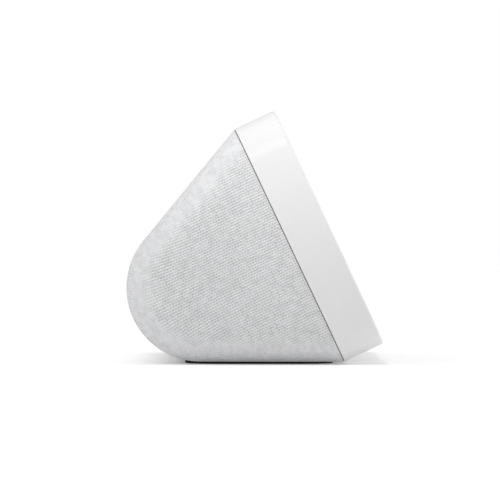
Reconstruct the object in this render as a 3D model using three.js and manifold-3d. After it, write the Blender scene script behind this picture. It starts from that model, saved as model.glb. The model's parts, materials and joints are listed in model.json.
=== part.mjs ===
// A compact smart speaker with a tilted touchscreen: a rounded-rectangle front band stands at a slant,
// and a knit-covered wedge with a rounded nose runs back from it and rests flat on a rubber foot.
//
// Millimetres. +Z is up, the screen faces -Y and leans back, +X is to the right seen from the front.
// The origin is under the middle of the whole speaker, on the surface that it stands on.
//
// Two frames are used. The body frame is the one above. The panel frame is tilted with the screen:
// x across, y up along the screen, z out of the screen, with z = 0 on the seam behind the front band.

import * as THREE from 'three';
import { mergeVertices } from 'three/addons/utils/BufferGeometryUtils.js';
import Module from 'manifold-3d';

const wasm = await Module();
wasm.setup();

// ---------------------------------------------------------------- driving dimensions

const TILT = THREE.MathUtils.degToRad(25.3); // the screen's lean, and half the wedge's angle
const PANEL_WIDTH = 147;
const PANEL_HEIGHT = 83;
const CORNER_RADIUS = 12.5; // of the band, seen from the front
const BAND_DEPTH = 14; // from the seam to the front rim
const BAND_FILLET = 0.8; // round on the band's front edge
const NOSE_RADIUS = 23.8; // the wedge's rounded rear, seen from the side
const SIDE_TAPER = 0.061; // how much narrower the wedge is at its nose
const FOOT_SHOWING = 0.8; // of the rubber foot, below the fabric

const FABRIC = 0.8; // thickness of the knit
const FIT = 0.3; // gap between neighbouring pieces
const HOUSING_WALL = 2.2;
const HOUSING_INSET = FABRIC + 0.4; // from the fabric's face in to the housing's
const HOUSING_BACK = HOUSING_INSET + HOUSING_WALL;
const SEAM_GAP = 0.2; // either side of the seam plane

const BAND_WALL = 2.5; // sides of the band, and the floor that the buttons pass through
const RIM = 1.7; // width of the white rim round the glass
const LIP_BACK = 10.3; // the ledge behind the glass, in z
const LIP_FRONT = 11.7;
const SCREEN_WIDTH = 125; // picture area, 5.5 inches across the corners
const SCREEN_HEIGHT = 62.5;
const MODULE_WIDTH = 129; // display module behind the glass
const MODULE_HEIGHT = 66;

const BUTTON_LENGTH = 14;
const BUTTON_WIDTH = 4;
const BUTTON_PROUD = 0.5; // above the band's top face
const BUTTON_Z = 6.5; // middle of the band
const BUTTONS = { mute_button: -30, volume_down_button: -8, volume_up_button: 12 }; // x of each

const CAMERA_X = 50;
const BORDER_Y = 36; // line of the camera and the light sensor, above the picture
const SENSOR_X = -50;
const SHUTTER_TRAVEL = 8;
const SHUTTER_X = CAMERA_X - SHUTTER_TRAVEL; // blade's middle with the camera open
const KNOB_X = SHUTTER_X - 6;
const MIC_X = 57;

const FOOT_HALF_WIDTH = 58;
const FOOT_FRONT = -25.7; // in body y
const FOOT_REAR = 22.6;
const FOOT_CORNER = 11;
const FOOT_THICK = 1.2;

const DRIVER_Z = 28.6; // axis of the loudspeaker, above the table
const DRIVER_RADIUS = 20;
const INLET_X = 48;
const INLET_RADIUS = 5.25; // recess that takes the body of the power plug

// ---------------------------------------------------------------- worked-out places

const SIN = Math.sin(TILT);
const COS = Math.cos(TILT);
const HALF_HEIGHT = PANEL_HEIGHT / 2;
const NOSE_DEPTH = (HALF_HEIGHT * COS - NOSE_RADIUS) / SIN; // seam to the nose's centre
const WEDGE_DEPTH = NOSE_DEPTH + NOSE_RADIUS;
const PANEL_FRONT = BAND_DEPTH * COS + HALF_HEIGHT * SIN - BAND_FILLET * (SIN + COS - 1);
const DEPTH = PANEL_FRONT + NOSE_DEPTH * COS + NOSE_RADIUS;
const PANEL_Y = PANEL_FRONT - DEPTH / 2;
const PANEL_Z = FOOT_SHOWING + HALF_HEIGHT * COS;
const NOSE_Z = FOOT_SHOWING + NOSE_RADIUS;
const REAR_Y = DEPTH / 2;

const PANEL_MATRIX = new THREE.Matrix4()
  .makeRotationX(Math.PI / 2 - TILT)
  .setPosition(0, PANEL_Y, PANEL_Z);
const BODY_TO_PANEL = PANEL_MATRIX.clone().invert();

// ---------------------------------------------------------------- solids and booleans

// A closed mesh as a solid that can be cut and joined.
function solid(geometry) {
  const plain = geometry.clone();
  plain.deleteAttribute('normal');
  plain.deleteAttribute('uv');
  const merged = mergeVertices(plain, 1e-4);
  const mesh = new wasm.Mesh({
    numProp: 3,
    vertProperties: new Float32Array(merged.attributes.position.array),
    triVerts: new Uint32Array(merged.index.array),
  });
  return new wasm.Manifold(mesh);
}

function geometryOf(manifold) {
  const mesh = manifold.getMesh();
  const geometry = new THREE.BufferGeometry();
  geometry.setAttribute('position', new THREE.BufferAttribute(mesh.vertProperties, 3));
  geometry.setIndex(new THREE.BufferAttribute(mesh.triVerts, 1));
  return geometry;
}

function cut(geometry, ...tools) {
  const result = tools.reduce((left, tool) => left.subtract(solid(tool)), solid(geometry));
  return geometryOf(result);
}

function join(geometry, ...others) {
  const result = others.reduce((left, other) => left.add(solid(other)), solid(geometry));
  return geometryOf(result);
}

function common(first, second) {
  return geometryOf(solid(first).intersect(solid(second)));
}

// A body-frame shape, seen from the panel frame.
function toPanel(geometry) {
  return geometry.clone().applyMatrix4(BODY_TO_PANEL);
}

// A panel-frame shape, seen from the body frame.
function toBody(geometry) {
  return geometry.clone().applyMatrix4(PANEL_MATRIX);
}

// ---------------------------------------------------------------- basic shapes

function box(x, y, z) {
  const geometry = new THREE.BoxGeometry(x[1] - x[0], y[1] - y[0], z[1] - z[0]);
  return geometry.translate((x[0] + x[1]) / 2, (y[0] + y[1]) / 2, (z[0] + z[1]) / 2);
}

// A box centred on x and y.
function slab(x, y, width, height, z) {
  return box([x - width / 2, x + width / 2], [y - height / 2, y + height / 2], z);
}

function roundedRectangle(width, height, radius) {
  const right = width / 2;
  const top = height / 2;
  const shape = new THREE.Shape();
  shape.absarc(right - radius, top - radius, radius, 0, Math.PI / 2);
  shape.absarc(-right + radius, top - radius, radius, Math.PI / 2, Math.PI);
  shape.absarc(-right + radius, -top + radius, radius, Math.PI, Math.PI * 1.5);
  shape.absarc(right - radius, -top + radius, radius, Math.PI * 1.5, Math.PI * 2);
  shape.closePath();
  return shape;
}

// Each corner arc of the shape becomes twice curveSegments straight pieces.
function extrude(shape, z, curveSegments = 2) {
  const settings = { depth: z[1] - z[0], bevelEnabled: false, curveSegments };
  return new THREE.ExtrudeGeometry(shape, settings).translate(0, 0, z[0]);
}

// A rounded rectangular plate, centred on x and y.
function plate(x, y, width, height, radius, z) {
  return extrude(roundedRectangle(width, height, radius), z).translate(x, y, 0);
}

// A cylinder along y from one end to the other.
function rodY(x, z, radius, y, sides = 20) {
  const geometry = new THREE.CylinderGeometry(radius, radius, y[1] - y[0], sides);
  return geometry.translate(x, (y[0] + y[1]) / 2, z);
}

// A cylinder along z from one end to the other.
function rodZ(x, y, radius, z, sides = 16) {
  const geometry = new THREE.CylinderGeometry(radius, radius, z[1] - z[0], sides);
  return geometry.rotateX(Math.PI / 2).translate(x, y, (z[0] + z[1]) / 2);
}

// A turned piece about the y axis. Its outline is a list of [radius, y], closed on itself.
function turned(outline, sides = 24) {
  const points = outline.map(([radius, y]) => new THREE.Vector2(radius, y));
  if (THREE.ShapeUtils.area(points) < 0) {
    points.reverse();
  }
  return new THREE.LatheGeometry([...points, points[0]], sides);
}

// A flat ring about the y axis.
function ringY(inner, outer, y, sides = 24) {
  return turned([[inner, y[0]], [outer, y[0]], [outer, y[1]], [inner, y[1]]], sides);
}

// A skin through rings of equally many points, with each end closed from side to side.
function loft(rings) {
  const count = rings[0].length;
  const positions = rings.flat().flatMap((point) => [point.x, point.y, point.z]);
  const faces = [];
  for (let ring = 0; ring < rings.length - 1; ring += 1) {
    for (let i = 0; i < count; i += 1) {
      const a = ring * count + i;
      const b = ring * count + ((i + 1) % count);
      faces.push(a, a + count, b, b, a + count, b + count);
    }
  }
  const last = (rings.length - 1) * count;
  for (let low = 0, high = count - 1; high - low > 1; low += 1, high -= 1) {
    faces.push(low, low + 1, high);
    faces.push(last + low, last + high, last + low + 1);
    if (high - low > 2) {
      faces.push(low + 1, high - 1, high);
      faces.push(last + low + 1, last + high, last + high - 1);
    }
  }
  const geometry = new THREE.BufferGeometry();
  geometry.setAttribute('position', new THREE.Float32BufferAttribute(positions, 3));
  geometry.setIndex(faces);
  return geometry;
}

// A flat ribbon along a line of [y, z] corners, with its width along x.
function ribbon(corners, thickness, x) {
  const line = corners.map(([y, z]) => new THREE.Vector2(y, z));
  const side = (sign) => line.map((point, i) => {
    const before = i > 0 ? point.clone().sub(line[i - 1]).normalize() : null;
    const after = i < line.length - 1 ? line[i + 1].clone().sub(point).normalize() : null;
    const first = before ?? after;
    const second = after ?? before;
    const mitre = new THREE.Vector2(-first.y - second.y, first.x + second.x);
    mitre.divideScalar(1 + first.dot(second));
    return point.clone().addScaledVector(mitre, (sign * thickness) / 2);
  });
  const shape = new THREE.Shape([...side(1), ...side(-1).reverse()]);
  const geometry = extrude(shape, x);
  const along = new THREE.Matrix4().makeBasis(
    new THREE.Vector3(0, 1, 0),
    new THREE.Vector3(0, 0, 1),
    new THREE.Vector3(1, 0, 0),
  );
  return geometry.applyMatrix4(along);
}

// A round lead along a smooth curve through the points given.
function lead(points, diameter) {
  const sides = 8;
  const ring = [];
  for (let i = 0; i < sides; i += 1) {
    const angle = (i / sides) * Math.PI * 2;
    ring.push(new THREE.Vector2(Math.cos(angle), Math.sin(angle)).multiplyScalar(diameter / 2));
  }
  const extrudePath = new THREE.CatmullRomCurve3(points.map((point) => new THREE.Vector3(...point)));
  return new THREE.ExtrudeGeometry(new THREE.Shape(ring), { steps: 14, extrudePath });
}

// A panel-frame point in the body frame.
function panelPoint(x, y, z) {
  return new THREE.Vector3(x, y, z).applyMatrix4(PANEL_MATRIX).toArray();
}

// ---------------------------------------------------------------- the wedge

// The wedge's outline seen from the side, inset evenly, from the top of the seam round the nose to
// its bottom. Its two flat flanks lean in by the tilt and meet the nose's arc smoothly.
function wedgeOutline(inset, front) {
  const flankSteps = 2;
  const noseSteps = 6;
  const radius = NOSE_RADIUS - inset;
  const half = [];
  const start = new THREE.Vector2(HALF_HEIGHT - inset / COS + front * Math.tan(TILT), front);
  const tangent = new THREE.Vector2(radius * COS, -NOSE_DEPTH - radius * SIN);
  for (let i = 0; i < flankSteps; i += 1) {
    half.push(start.clone().lerp(tangent, i / flankSteps));
  }
  for (let i = 0; i < noseSteps; i += 1) {
    const angle = TILT + (i / noseSteps) * (Math.PI / 2 - TILT);
    half.push(new THREE.Vector2(radius * Math.cos(angle), -NOSE_DEPTH - radius * Math.sin(angle)));
  }
  const tip = new THREE.Vector2(0, -NOSE_DEPTH - radius);
  const mirrored = half.map((point) => new THREE.Vector2(-point.x, point.y)).reverse();
  return [...half, tip, ...mirrored];
}

// The wedge as a closed solid, inset evenly from the speaker's outer surface. Its long edges are
// rounded to the band's corner radius, and its sides close in a little towards the nose.
function wedge(inset, front) {
  const edgeSteps = 6;
  const radius = CORNER_RADIUS - inset;
  const halfWidth = PANEL_WIDTH / 2 - inset;
  const ringAt = (angle, side) => {
    const x = halfWidth - radius * (1 - Math.cos(angle));
    const extra = radius * COS * (1 - Math.sin(angle));
    return wedgeOutline(inset + extra, front).map((point) => {
      const taper = 1 - SIDE_TAPER * (point.y / WEDGE_DEPTH) ** 2;
      return new THREE.Vector3(side * x * taper, point.x, point.y);
    });
  };
  const rings = [];
  for (let i = 0; i <= edgeSteps; i += 1) {
    rings.push(ringAt((i / edgeSteps) * (Math.PI / 2), -1));
  }
  for (let i = edgeSteps; i >= 0; i -= 1) {
    rings.push(ringAt((i / edgeSteps) * (Math.PI / 2), 1));
  }
  return loft(rings);
}

function footOutline(grow) {
  const width = 2 * (FOOT_HALF_WIDTH + grow);
  const length = FOOT_REAR - FOOT_FRONT + 2 * grow;
  return roundedRectangle(width, length, FOOT_CORNER + grow);
}

function footPlate(grow, z) {
  return extrude(footOutline(grow), z).translate(0, (FOOT_FRONT + FOOT_REAR) / 2, 0);
}

// The knit cover: a thin closed shell, open at the seam, over the foot and at the power inlet.
function fabricCover() {
  return cut(
    wedge(0, -SEAM_GAP),
    wedge(FABRIC, SEAM_GAP),
    toPanel(footPlate(FIT, [-2, 3.6])),
    toPanel(rodY(INLET_X, NOSE_Z, INLET_RADIUS + 1.65, [30, REAR_Y + 2])),
  );
}

const BASE_HALF_WIDTH = 57.2; // flange of the plate in the bottom
const BASE_CORNER = 10.2;
const BASE_FRONT = -25;
const BASE_REAR = 17.3;
const BASE_Z = [FOOT_THICK + 0.1, FOOT_THICK + 1.1];
const BASE_PLUG_HALF = 50; // the part of the plate that passes through the housing's floor
const BASE_PLUG = [-21, 13];
const BASE_SCREWS = [[-53.4, -18], [53.4, -18], [-53.4, 10], [53.4, 10]];

function basePlan(halfWidth, y, grow, z) {
  const width = 2 * (halfWidth + grow);
  const length = y[1] - y[0] + 2 * grow;
  return plate(0, (y[0] + y[1]) / 2, width, length, BASE_CORNER, z);
}

function basePlate() {
  const whole = join(
    basePlan(BASE_HALF_WIDTH, [BASE_FRONT, BASE_REAR], 0, BASE_Z),
    basePlan(BASE_PLUG_HALF, BASE_PLUG, 0, [BASE_Z[1] - 0.2, 4.2]),
  );
  return cut(whole, ...BASE_SCREWS.map(([x, y]) => rodZ(x, y, 1.3, [0, 6], 12)));
}

// Rows of slots in the rear of the housing that let the loudspeaker sound through the knit.
function grilleSlots() {
  const columns = 5;
  const pitch = 13;
  const angles = [-30, -10, 10, 30, 50];
  const slots = [];
  for (const degrees of angles) {
    for (let column = 0; column < columns; column += 1) {
      const x = (column - (columns - 1) / 2) * pitch;
      const slot = box([-5, 5], [NOSE_RADIUS - 6, NOSE_RADIUS + 2], [-1.3, 1.3]);
      slot.rotateX(THREE.MathUtils.degToRad(degrees));
      const noseY = PANEL_Y + NOSE_DEPTH * COS;
      slots.push(toPanel(slot.translate(x, noseY, NOSE_Z)));
    }
  }
  return slots;
}

// The plastic shell under the knit, with the tongue that plugs into the band and the screw bosses.
function rearHousing() {
  const tongueZ = [-1.5, 2.2];
  const tongue = cut(
    plate(0, 0, PANEL_WIDTH - 5.6, PANEL_HEIGHT - 5.6, CORNER_RADIUS - 2.8, tongueZ),
    plate(0, 0, PANEL_WIDTH - 8, PANEL_HEIGHT - 8, CORNER_RADIUS - 4, [-3, 4]),
  );
  const hollow = cut(wedge(HOUSING_INSET, -SEAM_GAP), wedge(HOUSING_BACK, SEAM_GAP));
  const bosses = BASE_SCREWS.map(([x, y]) => toPanel(rodZ(x, y, 2.8, [3, 8.5], 14)));
  const shell = join(hollow, tongue, ...bosses);
  return cut(
    shell,
    ...grilleSlots(),
    ...BASE_SCREWS.map(([x, y]) => toPanel(rodZ(x, y, 1.3, [0, 7.5], 12))),
    toPanel(basePlan(BASE_HALF_WIDTH, [BASE_FRONT, BASE_REAR], FIT, [0, BASE_Z[1] + FIT])),
    toPanel(basePlan(BASE_PLUG_HALF, BASE_PLUG, FIT, [0, 8])),
    toPanel(rodY(INLET_X, NOSE_Z, INLET_RADIUS + 1.65, [30, REAR_Y + 2])),
  );
}

// ---------------------------------------------------------------- the front band

// A rounded-rectangle block whose front edge has a small round.
function bandBlock(z) {
  const steps = 2;
  const outline = (inset) => roundedRectangle(
    PANEL_WIDTH - 2 * inset,
    PANEL_HEIGHT - 2 * inset,
    CORNER_RADIUS - inset,
  ).getPoints(3).slice(0, -1);
  const rings = [outline(0).map((point) => new THREE.Vector3(point.x, point.y, z[0]))];
  for (let i = 0; i <= steps; i += 1) {
    const angle = (i / steps) * (Math.PI / 2);
    const inset = BAND_FILLET * (1 - Math.cos(angle));
    const height = z[1] - BAND_FILLET * (1 - Math.sin(angle));
    rings.push(outline(inset).map((point) => new THREE.Vector3(point.x, point.y, height)));
  }
  return loft(rings.reverse());
}

// A slot through the band's top face, long in x.
function topSlot(x, length, width) {
  const shape = roundedRectangle(length, width, width / 2 - 0.01);
  const slot = extrude(shape, [HALF_HEIGHT - BAND_WALL - 1, HALF_HEIGHT + 2]);
  return slot.rotateX(-Math.PI / 2).translate(x, 0, BUTTON_Z);
}

const CHASSIS_SCREWS = [[-68, -24], [68, -24], [-68, 24], [68, 24]];
const BOSS_BACK = 7.3; // end of the band's screw bosses, in z

function frontBezel() {
  const block = bandBlock([0.15, BAND_DEPTH]);
  const hollowed = cut(
    block,
    plate(0, 0, PANEL_WIDTH - 2 * RIM, PANEL_HEIGHT - 2 * RIM, CORNER_RADIUS - RIM, [LIP_FRONT, 16]),
    plate(0, 0, MODULE_WIDTH + 1.6, MODULE_HEIGHT + 1.6, 2, [8, 13]),
    plate(0, 0, PANEL_WIDTH - 2 * BAND_WALL, PANEL_HEIGHT - 2 * BAND_WALL, 10, [-1, LIP_BACK]),
  );
  const bosses = CHASSIS_SCREWS.map(([x, y]) => rodZ(x, y, 3.2, [BOSS_BACK, LIP_BACK + 0.5], 14));
  const shutterSlot = topSlot((KNOB_X * 2 + SHUTTER_TRAVEL) / 2, SHUTTER_TRAVEL + 4.8, 2.8);
  return cut(
    join(hollowed, ...bosses),
    ...CHASSIS_SCREWS.map(([x, y]) => rodZ(x, y, 1.3, [6, 10.4], 12)),
    ...Object.values(BUTTONS).map((x) => topSlot(x, BUTTON_LENGTH + 0.6, BUTTON_WIDTH + 0.6)),
    shutterSlot,
    ...[-MIC_X, MIC_X].map((x) => rodY(x, BUTTON_Z, 0.5, [36, 43], 10)),
    box([KNOB_X - 2.4, CAMERA_X + 4.6], [33, 38.9], [LIP_BACK - 1, LIP_FRONT + 1]),
    slab(SENSOR_X, BORDER_Y, 5, 4.4, [LIP_BACK - 1, LIP_FRONT + 1]),
  );
}

function seamGasket() {
  return cut(
    plate(0, 0, PANEL_WIDTH - 1.8, PANEL_HEIGHT - 1.8, CORNER_RADIUS - 0.9, [-0.1, 0.05]),
    plate(0, 0, PANEL_WIDTH - 5, PANEL_HEIGHT - 5, CORNER_RADIUS - 2.5, [-1, 1]),
  );
}

// ---------------------------------------------------------------- display

const GLASS_GAP = 0.2;
const MASK_Z = [11.8, 12.0];
const GLASS_Z = [12.2, 13.8];

function coverGlass() {
  const inset = RIM + GLASS_GAP;
  const width = PANEL_WIDTH - 2 * inset;
  const height = PANEL_HEIGHT - 2 * inset;
  return extrude(roundedRectangle(width, height, CORNER_RADIUS - inset), GLASS_Z, 3);
}

// The white print behind the glass, with windows for the picture, the camera and the sensor.
function printMask() {
  const inset = RIM + GLASS_GAP + 0.1;
  const sheet = plate(
    0, 0, PANEL_WIDTH - 2 * inset, PANEL_HEIGHT - 2 * inset, CORNER_RADIUS - inset, MASK_Z,
  );
  return cut(
    sheet,
    slab(0, 0, SCREEN_WIDTH, SCREEN_HEIGHT, [11, 13]),
    rodZ(CAMERA_X, BORDER_Y, 2.2, [11, 13]),
    rodZ(SENSOR_X, BORDER_Y, 1.1, [11, 13], 14),
  );
}

function displayBackplate() {
  const sheet = plate(0, 0, 141.2, 66.4, 3, [6, 7]);
  const standoffs = [-44, 44].flatMap((x) => [-20, 20].map((y) => rodZ(x, y, 2, [3.1, 6.4], 12)));
  return cut(
    join(sheet, ...standoffs),
    ...CHASSIS_SCREWS.map(([x, y]) => rodZ(x, y, 1.3, [5, 8], 12)),
  );
}

// ---------------------------------------------------------------- buttons and shutter

// A pill-shaped key cap on a wider flange, with a nib underneath that works the switch.
// Its local y is 0 at the inner side of the band's top wall.
function keyCap() {
  const pill = (length, width, y) => extrude(
    roundedRectangle(length, width, width / 2 - 0.01), y,
  ).rotateX(-Math.PI / 2);
  return join(
    pill(BUTTON_LENGTH, BUTTON_WIDTH, [-0.6, BAND_WALL + BUTTON_PROUD]),
    slab(0, 0, BUTTON_LENGTH + 2, BUTTON_WIDTH + 1.8, [-1.3, -FIT]).rotateX(-Math.PI / 2),
    slab(0, 0, 3, 2, [-1.8, -1.2]).rotateX(-Math.PI / 2),
  );
}

// A tact switch with its plunger up. Its local y is 0 on the board.
function tactSwitch() {
  return join(
    box([-3, 3], [0.1, 1.4], [-1.75, 1.75]),
    rodY(0, 0, 1, [1.3, 1.8], 14),
  );
}

const BOARD_TOP = 34.9; // the button board's upper face, in panel y

// The camera's privacy shutter: knob, stem through the band, and a blade behind the glass.
// Its local x is 0 at the knob.
function shutterSlider() {
  const inner = HALF_HEIGHT - BAND_WALL;
  const bladeX = SHUTTER_X - KNOB_X;
  const knob = extrude(roundedRectangle(7, 4.4, 2.19), [HALF_HEIGHT + FIT, HALF_HEIGHT + 1])
    .rotateX(-Math.PI / 2).translate(0, 0, BUTTON_Z);
  return join(
    knob,
    box([-1.6, 1.6], [inner - 1.4, HALF_HEIGHT + 0.5], [BUTTON_Z - 1, BUTTON_Z + 1]),
    box([-1.6, 1.6], [inner - 1.4, inner - 0.4], [BUTTON_Z - 1, 11.4]),
    box([-1.6, bladeX + 3.6], [33.4, inner - 0.4], [11.0, 11.4]),
  );
}

// ---------------------------------------------------------------- electronics

function heatSink() {
  const fins = 9;
  const pitch = 6;
  const base = box([-26, 26], [-6, 14], [-3.2, -1.9]);
  const blades = [];
  for (let i = 0; i < fins; i += 1) {
    const x = (i - (fins - 1) / 2) * pitch;
    blades.push(box([x - 0.6, x + 0.6], [-6, 14], [-8.2, -3]));
  }
  return join(base, ...blades);
}

// The barrel jack, with its mouth towards the rear and its contact pin inside.
function dcJack() {
  const rear = 33.1;
  const body = box([-5.5, 5.5], [21, rear], [-6.4, 5.5]);
  return join(cut(body, rodY(0, 0, 2.9, [24, rear + 1])), rodY(0, 0, 1, [23, rear - 1.5], 12));
}

// ---------------------------------------------------------------- loudspeaker

// The sealed box behind the driver. It follows the housing, and its rear wall is the baffle.
const BAFFLE_Y = [18.4, 20];
const DRIVER_LUG = 14.5; // screw lugs, sideways and up from the driver's axis

function speakerEnclosure() {
  const wall = 1.6;
  const outside = common(
    toBody(wedge(HOUSING_BACK + 0.4, -9)),
    box([-36, 36], [-30, BAFFLE_Y[1]], [7, 50.6]),
  );
  const inside = common(
    toBody(wedge(HOUSING_BACK + 0.4 + wall, -9 - wall)),
    box([-36 + wall, 36 - wall], [-30, BAFFLE_Y[0]], [7 + wall, 50.6 - wall]),
  );
  return cut(
    outside,
    inside,
    rodY(0, DRIVER_Z, 17.5, [15, 25], 28),
    ...lugPlaces().map(([x, z]) => rodY(x, DRIVER_Z + z, 1.3, [15, 25], 12)),
    rodY(0, 0, 2.2, [-4, 4], 12).rotateZ(Math.PI / 2).translate(35, 4.9, 29.4),
  );
}

function lugPlaces() {
  return [-1, 1].flatMap((sx) => [-1, 1].map((sz) => [sx * DRIVER_LUG, sz * DRIVER_LUG]));
}

// The pressed basket: a flange with four lugs, an open conical frame, and the seat of the motor.
function speakerBasket() {
  const frame = turned([
    [7.4, 9.0], [12.4, 9.0], [17.0, 20.8], [DRIVER_RADIUS, 20.8],
    [DRIVER_RADIUS, 22.0], [16.9, 22.0], [16.1, 21.4], [11.8, 10.0], [7.4, 10.0],
  ]);
  const lugs = lugPlaces().map(([x, z]) => rodY(x, z, 2.6, [20.8, 22.0], 14));
  const windows = [box([-20, 20], [11.5, 19], [-4, 4]), box([-4, 4], [11.5, 19], [-20, 20])];
  const holes = lugPlaces().map(([x, z]) => rodY(x, z, 1.3, [19, 24], 12));
  return cut(join(frame, ...lugs), ...windows, ...holes);
}

// The iron yoke: a back disc with the pole standing on it.
function speakerYoke() {
  return turned([[0, 3.0], [13, 3.0], [13, 4.6], [5.6, 4.6], [5.6, 8.7], [0, 8.7]]);
}

// The corrugated cloth that centres the voice coil.
function spider() {
  const thickness = 0.35;
  const waves = 2;
  const [inner, outer] = [6.9, 12.0];
  const steps = 8;
  const upper = [];
  for (let i = 0; i <= steps; i += 1) {
    const radius = inner + ((outer - inner) * i) / steps;
    const y = 11.9 + 0.45 * Math.sin((i / steps) * waves * Math.PI * 2);
    upper.push([radius, y]);
  }
  const lower = upper.map(([radius, y]) => [radius, y - thickness]).reverse();
  return turned([...upper, ...lower]);
}

function speakerCone() {
  return turned([[6.9, 14.2], [7.4, 14.0], [13.6, 20.9], [13.6, 21.4], [6.9, 15.0]]);
}

function dustCap() {
  const sphereSteps = 3;
  const [radius, rise, base] = [6.6, 2.6, 15.6];
  const arc = [];
  for (let i = 0; i <= sphereSteps; i += 1) {
    const along = i / sphereSteps;
    arc.push([radius * (1 - along), base + rise * (1 - (1 - along) ** 2)]);
  }
  const under = arc.slice().reverse().map(([r, y]) => [r, y - 0.4]);
  return turned([...arc, ...under]);
}

// The rubber half-roll between the cone and the basket.
function surround() {
  const steps = 5;
  const middle = 15.75;
  const top = [];
  const under = [];
  for (let i = 0; i <= steps; i += 1) {
    const angle = Math.PI * (1 - i / steps);
    top.push([middle + 1.5 * Math.cos(angle), 22.3 + 1.5 * Math.sin(angle)]);
    under.push([middle + 1.1 * Math.cos(angle), 22.3 + 1.1 * Math.sin(angle)]);
  }
  return turned([...top, ...under.reverse()]);
}

// A pan-head screw along y, with its head towards +y.
function screw(headRadius, headHeight, shaftLength) {
  return turned([
    [0, -shaftLength], [1, -shaftLength], [1, 0], [headRadius, 0], [headRadius, headHeight], [0, headHeight],
  ], 8);
}

// ---------------------------------------------------------------- assembly

const FINISHES = {
  whitePlastic: { color: 0xe9e9e8, roughness: 0.45, metalness: 0 },
  knit: { color: 0xc9cace, roughness: 0.95, metalness: 0 },
  greyPlastic: { color: 0x9a9c9f, roughness: 0.6, metalness: 0 },
  darkPlastic: { color: 0x2a2b2d, roughness: 0.6, metalness: 0 },
  rubber: { color: 0x1b1c1d, roughness: 0.85, metalness: 0 },
  glass: { color: 0x101114, roughness: 0.05, metalness: 0 },
  board: { color: 0x1f5c3a, roughness: 0.5, metalness: 0 },
  steel: { color: 0xb8babd, roughness: 0.35, metalness: 1 },
  ferrite: { color: 0x3a3a3c, roughness: 0.7, metalness: 0 },
  copper: { color: 0xb5713c, roughness: 0.4, metalness: 1 },
  paper: { color: 0x2e2d2c, roughness: 0.9, metalness: 0 },
  amber: { color: 0xb58a2e, roughness: 0.4, metalness: 0 },
};

const speaker = new THREE.Group();
const panel = new THREE.Group();
panel.applyMatrix4(PANEL_MATRIX);
const driver = new THREE.Group();
driver.position.z = DRIVER_Z;
speaker.add(panel, driver);

function add(parent, name, geometry, finish, place = [0, 0, 0]) {
  const mesh = new THREE.Mesh(geometry, new THREE.MeshStandardMaterial(FINISHES[finish]));
  mesh.name = name;
  mesh.position.set(...place);
  parent.add(mesh);
  return mesh;
}

// Outer shell
add(panel, 'front_bezel', frontBezel(), 'whitePlastic');
add(panel, 'rear_housing', rearHousing(), 'greyPlastic');
add(panel, 'fabric_cover', fabricCover(), 'knit');
add(panel, 'seam_gasket', seamGasket(), 'rubber');
add(speaker, 'base_plate', basePlate(), 'darkPlastic');
add(speaker, 'rubber_foot', footPlate(0, [0, FOOT_THICK]), 'rubber');
for (const [i, [x, y]] of BASE_SCREWS.entries()) {
  const mesh = add(speaker, `base_screw_${i + 1}`, screw(1.2, 0.1, 4.4), 'steel', [x, y, BASE_Z[1]]);
  mesh.rotation.x = -Math.PI / 2;
}

// Display
add(panel, 'cover_glass', coverGlass(), 'glass');
add(panel, 'border_mask', printMask(), 'whitePlastic');
add(panel, 'lcd_panel', slab(0, 0, MODULE_WIDTH, MODULE_HEIGHT, [9.8, 11.5]), 'glass');
add(panel, 'backlight_unit', slab(0, 0, MODULE_WIDTH, MODULE_HEIGHT, [7.3, 9.5]), 'steel');
add(panel, 'display_backplate', displayBackplate(), 'steel');
const flexLine = [[-33.3, 9.9], [-34.8, 9.9], [-34.8, 4.4], [-24.4, 4.4], [-24.4, 3.1]];
add(panel, 'display_flex', ribbon(flexLine, 0.3, [-12, 12]), 'amber');
for (const [i, [x, y]] of CHASSIS_SCREWS.entries()) {
  const mesh = add(panel, `chassis_screw_${i + 1}`, screw(2, 1.3, 4), 'steel', [x, y, 5.7]);
  mesh.rotation.x = -Math.PI / 2;
}

// Buttons, shutter, camera, sensor and microphones, along the top of the band
const innerTop = HALF_HEIGHT - BAND_WALL;
for (const [name, x] of Object.entries(BUTTONS)) {
  add(panel, name, keyCap(), 'whitePlastic', [x, innerTop, BUTTON_Z]);
  const label = name.replace('button', 'switch');
  add(panel, label, tactSwitch(), 'darkPlastic', [x, BOARD_TOP, BUTTON_Z]);
}
add(panel, 'button_board', box([-40, 22], [BOARD_TOP - 1, BOARD_TOP], [3.6, 9.8]), 'board');
const buttonFlexLine = [[34.4, 3.3], [34.4, -0.3], [23.4, -0.3], [23.4, 0.9]];
add(panel, 'button_flex', ribbon(buttonFlexLine, 0.3, [-36, -29]), 'amber');
add(panel, 'shutter_slider', shutterSlider(), 'whitePlastic', [KNOB_X, 0, 0]);
add(panel, 'camera_module', slab(CAMERA_X, BORDER_Y, 7.2, 5.2, [6.5, 10.0]), 'darkPlastic');
add(panel, 'camera_lens', rodZ(CAMERA_X, BORDER_Y, 1.9, [10.1, 10.7], 20), 'glass');
add(panel, 'light_sensor', slab(SENSOR_X, BORDER_Y, 3, 2.4, [10.2, 11.4]), 'darkPlastic');
for (const [side, x] of [['left', -MIC_X], ['right', MIC_X]]) {
  add(panel, `microphone_${side}`, box([x - 2, x + 2], [37, 38.7], [5, 8]), 'steel');
}

// Main board, its cooling, and the aerials
add(panel, 'main_board', plate(0, 0, 100, 50, 2, [1.2, 2.8]), 'board');
add(panel, 'shield_can', plate(0, 4, 48, 24, 1, [-0.9, 1.1]), 'steel');
add(panel, 'thermal_pad', slab(0, 4, 40, 18, [-1.7, -1.0]), 'greyPlastic');
add(panel, 'heat_sink', heatSink(), 'steel');
for (const [side, x] of [['left', -68.4], ['right', 68.4]]) {
  add(panel, `antenna_${side}`, box([x - 0.2, x + 0.2], [-8, 8], [-22, -10]), 'amber');
}

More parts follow.
